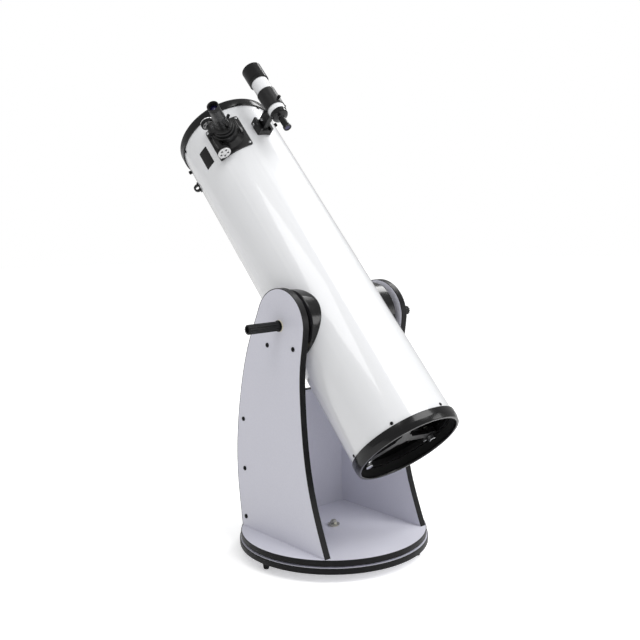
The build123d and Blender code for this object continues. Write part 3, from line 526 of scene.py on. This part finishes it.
# %% [markdown]
# ## Pan-head screws on the tube
#
# Six black pan-head screws hold the mirror cell, three hold the front ring and four hold each
# altitude bearing. The head is a low dome with a cross recess. The screws round the tube face
# straight out from its axis, and those in the bearings face along the altitude axis.

# %% One pan-head screw and its seats
def cross_screw(name, head_mm, height_mm, shank_mm, depth_mm):
    """A domed head above Z = 0, with a cross recess, and its shank below."""
    dome = [(head_mm * math.cos(a), height_mm * (0.35 + 0.65 * math.sin(a)))
            for a in (math.radians(15 * k) for k in range(6))]
    corners = [(0, -depth_mm), (shank_mm * 0.7, -depth_mm), (shank_mm, -depth_mm + 1), (shank_mm, 0),
               (head_mm, 0), *dome, (0, height_mm)]
    screw = spun(name, corners, steps=24)
    arm, half = head_mm * 0.6, head_mm * 0.13
    outline = [(arm, -half), (arm, half), (half, half), (half, arm), (-half, arm), (-half, half),
               (-arm, half), (-arm, -half), (-half, -half), (-half, -arm), (half, -arm), (half, -half)]
    return cut_by(screw, prism("recess", outline, height_mm * 0.45, height_mm + 1))


def round_tube(station_mm, angle_deg, radius_mm):
    """A place and the outward direction at an angle round the tube."""
    a = math.radians(angle_deg)
    out = Vector((math.cos(a), math.sin(a), 0))
    place = TUBE @ (out * radius_mm * MM + Vector((0, 0, station_mm * MM)))
    return place, TUBE.to_3x3() @ out


def fixings(name, fixing, seats, finish_name):
    """Copies of a fixing on every (place, outward direction)."""
    points = from_points(name + "_seats", [place for place, outwards in seats])
    attribute = points.data.attributes.new("outwards", "FLOAT_VECTOR", "POINT")
    attribute.data.foreach_set("vector", [v for place, outwards in seats for v in outwards])
    piece = grown(name, points, fixing_tree, {"Fixing": fixing, "Material": finish[finish_name]})
    bpy.data.objects.remove(fixing)
    return piece


tube_radius = 144.0
cell_station, cell_first_angle = -381, 161.7
ring_station, ring_angles = 685, (163, 43, -77)
flange_face = 150.0
flange_circle, flange_angles = 79, (18, -18, 162, 198)

cell_seats = [round_tube(cell_station, cell_first_angle + 60 * k, tube_radius) for k in range(6)]
ring_seats = [round_tube(ring_station, angle, tube_radius) for angle in ring_angles]
bearing_seats = []
for side in (-1, 1):
    for a in map(math.radians, flange_angles):
        spot = Vector((side * flange_face, flange_circle * math.sin(a), flange_circle * math.cos(a)))
        bearing_seats.append((TUBE @ (spot * MM), Vector((side, 0, 0))))
pan_screw = cross_screw("pan_screw", head_mm=4.3, height_mm=2.5, shank_mm=2.0, depth_mm=6.0)
tube_fixings = fixings("tube_pan_screws", pan_screw, cell_seats + ring_seats + bearing_seats,
                       "black_screws")
fit_in(tube_fixings, "tube", "black_screws", "tube_screws")

# %% [markdown]
# ## Socket bolts of the box
#
# The front board and the bearing posts are held by furniture bolts with shallow domed caps and a
# hexagon socket. Each cap sits on the outer face of a side panel. Three stand over the front board,
# whose box gives their line, and two stand below the altitude axis, where the bearing posts are.

# %% Socket caps on the side panels
def socket_bolt(name, head_mm, height_mm, shank_mm, depth_mm, socket_mm):
    """A domed cap above Z = 0, with a hexagon socket, and its shank below."""
    dome = [(head_mm - height_mm * (1 - math.cos(a)), height_mm * (0.3 + 0.7 * math.sin(a)))
            for a in (math.radians(15 * k) for k in range(7))]
    corners = [(0, -depth_mm), (shank_mm, -depth_mm), (shank_mm, 0), (head_mm, 0), *dome,
               (0, height_mm)]
    bolt = spun(name, corners, steps=28)
    socket = [(socket_mm * math.cos(a), socket_mm * math.sin(a))
              for a in (math.radians(60 * k) for k in range(6))]
    return cut_by(bolt, prism("socket", socket, height_mm * 0.35, height_mm + 1))


panel_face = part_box("side_panel_right")[1].x
floor_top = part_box("rocker_floor")[1].z
board_low, board_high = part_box("front_board")
board_heights = (30, 169, 310)
post_distance, post_angle = 77.8, math.radians(44)
post_reach = post_distance * math.sin(post_angle) * MM
post_drop = post_distance * math.cos(post_angle) * MM

bolt_places = [((board_low.y + board_high.y) / 2, floor_top + h * MM) for h in board_heights]
bolt_places += [(pivot.y + side * post_reach, pivot.z - post_drop) for side in (-1, 1)]
bolt_seats = [(Vector((side * panel_face, y, z)), Vector((side, 0, 0)))
              for side in (-1, 1) for y, z in bolt_places]
cap_bolt = socket_bolt("socket_bolt", head_mm=6.4, height_mm=2.6, shank_mm=2.5, depth_mm=34.0,
                       socket_mm=2.9)
caps = fixings("panel_socket_bolts", cap_bolt, bolt_seats, "black_screws")
fit_in(caps, "rocker", "black_screws", "panel_bolts")

# %% [markdown]
# ## Ribbed grips
#
# A grip or a knob is a turned core with ribs that run along it. The ribs are the same bar many
# times over, spaced round a circle, which is what instancing is for. Each bar is a short curve
# whose radius falls at both ends, so the ribs fade out as a mould maker would draw them.

# %% The tree that adds ribs to a turned core
rib_tree, given = new_tree("ribs_round_a_core", {"Ribs": int, "Ring Radius": float,
                                                 "Rib Radius": float, "Low": float, "High": float})
low_end = add(rib_tree, "ShaderNodeCombineXYZ", {"Z": given["Low"]})
high_end = add(rib_tree, "ShaderNodeCombineXYZ", {"Z": given["High"]})
line = add(rib_tree, "GeometryNodeCurvePrimitiveLine",
           {"Start": low_end.outputs[0], "End": high_end.outputs[0]})
pointed = add(rib_tree, "GeometryNodeResampleCurve", {"Curve": line.outputs[0], "Count": 14})
tips = add(rib_tree, "GeometryNodeCurveEndpointSelection", {"Start Size": 1, "End Size": 1})
tapered = add(rib_tree, "GeometryNodeSetCurveRadius",
              {"Curve": pointed.outputs[0], "Selection": tips.outputs[0], "Radius": 0.35})
section = add(rib_tree, "GeometryNodeCurvePrimitiveCircle",
              {"Resolution": 10, "Radius": given["Rib Radius"]})
bar = add(rib_tree, "GeometryNodeCurveToMesh",
          {"Curve": tapered.outputs[0], "Profile Curve": section.outputs[0], "Fill Caps": True})
ring = add(rib_tree, "GeometryNodeMeshCircle",
           {"Vertices": given["Ribs"], "Radius": given["Ring Radius"]})
bars = add(rib_tree, "GeometryNodeInstanceOnPoints",
           {"Points": ring.outputs[0], "Instance": bar.outputs[0]})
joined = add(rib_tree, "GeometryNodeJoinGeometry", {"Geometry": given["Geometry"]})
rib_tree.links.new(bars.outputs[0], joined.inputs["Geometry"])
end_tree(rib_tree, joined.outputs[0], given)


def ribbed(name, corners_mm, place, finish_name, ribs, ring_mm, rib_mm, low_mm, high_mm):
    """A turned core with ribs, put in its place."""
    values = {"Ribs": ribs, "Ring Radius": ring_mm * MM, "Rib Radius": rib_mm * MM,
              "Low": low_mm * MM, "High": high_mm * MM, "Material": finish[finish_name]}
    return grown(name, spun(name + "_core", corners_mm, steps=48), rib_tree, values, place)


# %% [markdown]
# ## The tension handles
#
# Each handle is a soft black grip on a steel stud, with a small collar against its washer. It
# stands out along the altitude axis, so its frame has Z along that axis, and its length comes from
# the node's box. The hollow end is a moulding's usual way to keep the walls even.

# %% Two grips and their collars
washer_thick = 3.0
stud_gap = 2.0
for side, name in ((-1, "left"), (1, "right")):
    node = "tension_handle_" + name
    low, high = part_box(node)
    outer = max(abs(low.x), abs(high.x)) / MM
    base = panel_face / MM + washer_thick
    inner = flange_face + stud_gap
    place = basis(pivot, Vector((0, 1, 0)), Vector((side, 0, 0)))
    grip = [(0, base + 6), (12.6, base + 6), (12.8, base + 8), (11.4, base + 9.5), (11.2, outer - 4),
            (11, outer - 1), (10.2, outer), (8.6, outer), (8, outer - 0.8), (8, outer - 6),
            (0, outer - 6)]
    handle = ribbed("handle_grip_" + name, grip, place, "grip_plastic", ribs=12, ring_mm=10.9,
                    rib_mm=2.1, low_mm=base + 8, high_mm=outer - 1)
    fit_in(handle, "handle_" + name, "grip_plastic", node)
    collar = spun("handle_collar_" + name,
                  [(0, inner), (4.4, inner), (5, inner + 1), (5, base), (14.6, base), (15.2, base + 0.6),
                   (15.2, base + 2.4), (14.4, base + 3.2), (13.4, base + 3.4), (13.4, base + 5.6),
                   (13, base + 6), (0, base + 6)], steps=64)
    collar.data.transform(place)
    smooth(collar.data)
    fit_in(collar, "handle_" + name, "black_screws")

# %% [markdown]
# ## The focuser's knobs
#
# Each knob is a bright disc with five round windows, set in a black ribbed rim. Disc and rim are
# two mouldings, so they are two pieces here as well. The windows show the black rim moulding
# behind the disc, which is why they look dark.

# %% Discs and rims
focus_centre = Vector(joints["focus_turn"]["pos_m"])
inner, outer = 50.3, 63.3
window_circle, window_radius = 11, 3.5
discs = []
rims = []
for side in (-1, 1):
    place = basis(focus_centre, sideways, Vector(joints["focus_turn"]["axis"]) * side)
    face = [(0, outer - 3), (19, outer - 3), (19.2, outer - 2.6), (19.2, outer - 0.6), (18.6, outer),
            (15.4, outer), (15, outer - 0.3), (6.4, outer - 0.3), (6, outer), (0, outer)]
    back_face = [(3, inner + 0.3), (16.2, inner + 0.3), (16.2, inner + 3), (3, inner + 3)]
    for corners, low, high in ((face, outer - 4, outer + 1), (back_face, inner - 1, inner + 4)):
        disc = spun("disc", corners, steps=64)
        for k in range(5):
            a = math.radians(18 + 72 * k)
            window = spun("window", [(0, low), (window_radius, low), (window_radius, high), (0, high)])
            aside = Vector((math.cos(a), math.sin(a), 0)) * window_circle * MM
            window.data.transform(Matrix.Translation(aside))
            disc = cut_by(disc, window)
        disc.data.transform(place)
        discs.append(disc)
    rim = [(3, inner + 3.1), (16.3, inner + 3.1), (16.3, inner), (18, inner), (18.8, inner + 0.8),
           (18.8, outer - 3.1), (3, outer - 3.1)]
    rims.append(ribbed("rim", rim, place, "grip_plastic", ribs=40, ring_mm=18.9, rib_mm=0.85,
                       low_mm=inner + 0.8, high_mm=outer - 2.9))


def joined_piece(name, things):
    """Several meshes as one piece."""
    build = bmesh.new()
    for thing in things:
        build.from_mesh(thing.data)
        bpy.data.objects.remove(thing)
    piece = from_bmesh(name, build)
    smooth(piece.data)
    return piece


bright = joined_piece("focus_knob_discs", discs)
fit_in(bright, "pinion", "silver_knobs", "focus_knobs")
dark = joined_piece("focus_knob_rims", rims)
fit_in(dark, "pinion", "grip_plastic")

# %% [markdown]
# ## Coil springs
#
# Three springs push the mirror's carrier away from the cell. A spring is a helix, and Geometry
# Nodes have a spiral curve that gives it at once: its start and end radius are equal, and its
# height is the spring's length. The wire is a circle swept along it.

# %% Three springs by one tree
spring_tree, given = new_tree("springs_on_a_circle", {"Springs": int, "Ring Radius": float,
                                                      "Coil Radius": float, "Wire Radius": float,
                                                      "Height": float, "Turns": float})
helix = add(spring_tree, "GeometryNodeCurveSpiral",
            {"Resolution": 24, "Rotations": given["Turns"], "Start Radius": given["Coil Radius"],
             "End Radius": given["Coil Radius"], "Height": given["Height"]})
wire = add(spring_tree, "GeometryNodeCurvePrimitiveCircle",
           {"Resolution": 10, "Radius": given["Wire Radius"]})
coil = add(spring_tree, "GeometryNodeCurveToMesh",
           {"Curve": helix.outputs[0], "Profile Curve": wire.outputs[0], "Fill Caps": True})
spots = add(spring_tree, "GeometryNodeMeshCircle",
            {"Vertices": given["Springs"], "Radius": given["Ring Radius"]})
coils = add(spring_tree, "GeometryNodeInstanceOnPoints",
            {"Points": spots.outputs[0], "Instance": coil.outputs[0]})
end_tree(spring_tree, coils.outputs[0], given)

spring_low, spring_turn = -375.0, math.radians(8)
spring_sizes = {"Springs": 3, "Ring Radius": 112 * MM, "Coil Radius": 6 * MM, "Wire Radius": 0.9 * MM,
                "Height": 10.6 * MM, "Turns": 4.0, "Material": finish["zinc_steel"]}
spring_place = (TUBE @ Matrix.Translation((0, 0, spring_low * MM))
                @ Matrix.Rotation(spring_turn, 4, "Z"))
springs = grown("collimation_coils", from_points("spring_start", [(0, 0, 0)]), spring_tree,
                spring_sizes, spring_place)
fit_in(springs, "tube", "zinc_steel", "collimation_springs")

# %% [markdown]
# ## Bands and rings by one rule
#
# The edge bands of the two round boards and the rings on the tube's ends all follow a circle with
# one section. So one tree sweeps whatever section it is given round a circle. The section is drawn
# as points, X away from the circle's line and Y down, and its corners are rounded with arcs, since
# rounded corners are what make moulded plastic catch the light.

# %% The tree that sweeps a section round a circle
sweep_tree, given = new_tree("section_round_a_circle", {"Radius": float, "Segments": int})
section = add(sweep_tree, "GeometryNodeMeshToCurve", {"Mesh": given["Geometry"]})
circle = add(sweep_tree, "GeometryNodeCurvePrimitiveCircle",
             {"Resolution": given["Segments"], "Radius": given["Radius"]})
swept = add(sweep_tree, "GeometryNodeCurveToMesh",
            {"Curve": circle.outputs[0], "Profile Curve": section.outputs[0]})
end_tree(sweep_tree, swept.outputs[0], given)


def rounded(corners, arc_steps=4):
    """Closed corners (x, y, radius) with each corner replaced by an arc of its radius."""
    points = []
    for k, (x, y, radius) in enumerate(corners):
        corner = Vector((x, y))
        before = (Vector(corners[k - 1][:2]) - corner).normalized()
        after = (Vector(corners[(k + 1) % len(corners)][:2]) - corner).normalized()
        if radius == 0:
            points.append(corner)
            continue
        half = before.angle(after) / 2
        middle = corner + (before + after).normalized() * (radius / math.sin(half))
        first = corner + before * (radius / math.tan(half)) - middle
        last = corner + after * (radius / math.tan(half)) - middle
        turn = first.angle_signed(last)
        for step in range(arc_steps + 1):
            a = -turn * step / arc_steps
            points.append(middle + Vector((first.x * math.cos(a) - first.y * math.sin(a),
                                           first.x * math.sin(a) + first.y * math.cos(a))))
    return points


def swept_ring(name, corners_mm, place, finish_name, segments=192):
    """A ring from (radius, height, corner radius) corners in millimetres."""
    line_radius = min(corner[0] for corner in corners_mm) - 1
    outline = rounded([((r - line_radius) * MM, -h * MM, c * MM) for r, h, c in corners_mm])
    count = len(outline)
    section = from_points(name + "_section", [(p.x, p.y, 0) for p in outline],
                          edges=[(k, (k + 1) % count) for k in range(count)])
    ring = grown(name, section, sweep_tree, {"Radius": line_radius * MM, "Segments": segments,
                                             "Material": finish[finish_name]}, place, angle=50)
    build = bmesh.new()
    build.from_mesh(ring.data)
    bmesh.ops.recalc_face_normals(build, faces=build.faces)
    build.to_mesh(ring.data)
    build.free()
    return ring


# %% Edge bands of the two round boards
band_round = 1.2
for node, body, inner in (("ground_board_edging", "base", 262.0),
                          ("rocker_floor_edging", "rocker", 258.0)):
    low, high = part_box(node)
    outer, under, over = high.x / MM, low.z / MM, high.z / MM
    band_section = [(inner, under, 0), (outer, under, band_round), (outer, over, band_round),
                    (inner, over, 0)]
    band = swept_ring(node.replace("edging", "edge_band"), band_section, Matrix.Identity(4),
                      "black_edging")
    fit_in(band, body, "black_edging", node)

# %% Front and rear rings of the tube
front_section = [(tube_radius, 690, 0), (148.5, 690, 1.2), (148.5, 717, 3), (140, 717, 1.4),
                 (140, 712, 0), (tube_radius, 712, 0)]
front = swept_ring("front_ring_moulding", front_section, TUBE, "gloss_black_plastic")
fit_in(front, "tube", "gloss_black_plastic", "front_ring")
rear_section = [(tube_radius, -388, 0), (148.5, -388, 1.5), (148.1, -405, 8), (144.8, -419, 2.4),
                (138, -419, 1.2), (137.5, -414, 0), (tube_radius, -414, 0)]
rear = swept_ring("rear_ring_moulding", rear_section, TUBE, "gloss_black_plastic")
fit_in(rear, "tube", "gloss_black_plastic", "rear_ring")

# %% [markdown]
# ## The data label
#
# A small black foil label is stuck on the tube beside the focuser. It is left blank here. A foil
# follows the tube, so its points are placed by station and angle on the tube's surface, and its
# corners are rounded in that flat pattern before it is wrapped.

# %% A curved foil
def foil(name, station_low, station_high, angle_low, angle_high, radius_mm, thick_mm, corner_mm,
         strips=9):
    """A thin plate wrapped on the tube in flat strips, with rounded corners."""
    width = math.radians(angle_high - angle_low) * radius_mm
    height = station_high - station_low
    outline = rounded([(0, 0, corner_mm), (width, 0, corner_mm), (width, height, corner_mm),
                       (0, height, corner_mm)])
    build = bmesh.new()
    build.faces.new([build.verts.new((p.x, p.y, 0)) for p in outline])
    for k in range(1, strips):
        geometry = build.verts[:] + build.edges[:] + build.faces[:]
        bmesh.ops.bisect_plane(build, geom=geometry, plane_co=(width * k / strips, 0, 0),
                               plane_no=(1, 0, 0))
    grown_faces = bmesh.ops.extrude_face_region(build, geom=build.faces[:])
    for item in grown_faces["geom"]:
        if isinstance(item, bmesh.types.BMVert):
            item.co.z = thick_mm
    for vert in build.verts:
        a = math.radians(angle_low) + vert.co.x / radius_mm
        reach = (radius_mm + vert.co.z) * MM
        place = Vector((reach * math.cos(a), reach * math.sin(a), (station_low + vert.co.y) * MM))
        vert.co = TUBE @ place
    bmesh.ops.recalc_face_normals(build, faces=build.faces)
    plate = from_bmesh(name, build)
    smooth(plate.data, 30)
    return plate


label = foil("data_label", station_low=557, station_high=620, angle_low=-176.2, angle_high=-162.8,
             radius_mm=tube_radius, thick_mm=0.35, corner_mm=2.0)
fit_in(label, "tube", "gloss_black_plastic")

# %% [markdown]
# ## The studio
#
# A catalogue picture has a pale floor, an even white surround and large soft lamps. Soft lamps give
# the gloss tube its long highlight without a hard glare. The surround lights the telescope less
# strongly than the camera sees it, and the floor glows a little for the camera only, so the
# background stays white while the telescope keeps its shading.

# %% Floor and surround
floor_glow = 0.4
light_from_surround, seen_surround = 0.42, 1.0

floor_mesh = bmesh.new()
bmesh.ops.create_circle(floor_mesh, cap_ends=True, segments=96, radius=14.0)
studio_floor = from_bmesh("studio_floor", floor_mesh)
paint, paint_tree, paint_shader, _ = start("studio_floor_paint", "#FAFAFA", Roughness=0.8)
for_camera = add(paint_tree, "ShaderNodeLightPath").outputs["Is Camera Ray"]
lift = add(paint_tree, "ShaderNodeMath", {0: for_camera, 1: floor_glow}, operation="MULTIPLY")
paint_tree.links.new(lift.outputs[0], paint_shader.inputs["Emission Strength"])
paint_shader.inputs["Emission Color"].default_value = colour("#FFFFFF")
studio_floor.data.materials.append(paint)

world = bpy.data.worlds.new("studio_surround")
bpy.context.scene.world = world
world.use_nodes = True
surround = world.node_tree
surround.nodes.clear()
seen = add(surround, "ShaderNodeLightPath").outputs["Is Camera Ray"]
strength = add(surround, "ShaderNodeMapRange",
               {"Value": seen, "To Min": light_from_surround, "To Max": seen_surround})
backdrop = add(surround, "ShaderNodeBackground",
               {"Color": colour("#FFFFFF"), "Strength": strength.outputs[0]})
add(surround, "ShaderNodeOutputWorld", {"Surface": backdrop.outputs[0]})
bpy.context.scene.view_settings.view_transform = "Standard"


# %% [markdown]
# ## Lamps
#
# Each lamp looks at the middle of the object. Where it hangs is given by an azimuth and an
# elevation round the object, as a photographer would say it. A soft sun does most of the work. The
# wall lamp stands to the right, and its reflection is the bright streak on black round parts.

# %% A sun and three soft lamps
centre = (cad_box[0] + cad_box[1]) / 2


def direction_to(azimuth, elevation):
    """The direction from the object to a point round it, in radians. Azimuth 0 is its -Y side."""
    flat = math.cos(elevation)
    return Vector((math.sin(azimuth) * flat, -math.cos(azimuth) * flat, math.sin(elevation)))


def lamp(name, kind, azimuth, elevation, distance, energy):
    """A lamp that looks at the middle of the object, from angles in degrees."""
    data = bpy.data.lights.new(name, kind)
    data.energy = energy
    thing = new_object(name, data)
    direction = direction_to(math.radians(azimuth), math.radians(elevation))
    thing.location = centre + direction * distance
    thing.rotation_euler = (-direction).to_track_quat("-Z", "Y").to_euler()
    return data


high_sun = lamp("high_sun", "SUN", azimuth=20, elevation=55, distance=4.0, energy=1.55)
high_sun.angle = math.radians(40)
for name, azimuth, elevation, distance, size, watts in (("side_lamp", -65, 50, 1.8, 0.8, 5),
                                                        ("strip_lamp", 35, 10, 2.6, 0.9, 8),
                                                        ("wall_lamp", 100, 42, 3.0, 1.1, 25)):
    lamp(name, "AREA", azimuth, elevation, distance, watts).size = size

# %% [markdown]
# ## The camera
#
# The camera stands behind and to the left of the tube, a little above its middle, with a slight
# roll. Its three directions are worked out as a matrix, so there is nothing to aim by eye.

# %% Camera
camera_place = Vector((-1.604755, -1.836642, 0.947058))
camera_azimuth, camera_elevation, camera_roll = (math.radians(v) for v in (-40.482, 7.119, -1.0376))
back = direction_to(camera_azimuth, camera_elevation)
level = Vector((math.cos(camera_azimuth), math.sin(camera_azimuth), 0))
right = level * math.cos(camera_roll) + back.cross(level) * math.sin(camera_roll)
camera_data = bpy.data.cameras.new("camera")
camera_data.lens = 50.488
camera_data.sensor_width = 36.0
camera = new_object("camera", camera_data)
camera.matrix_world = basis(camera_place, right, back)
bpy.context.scene.camera = camera
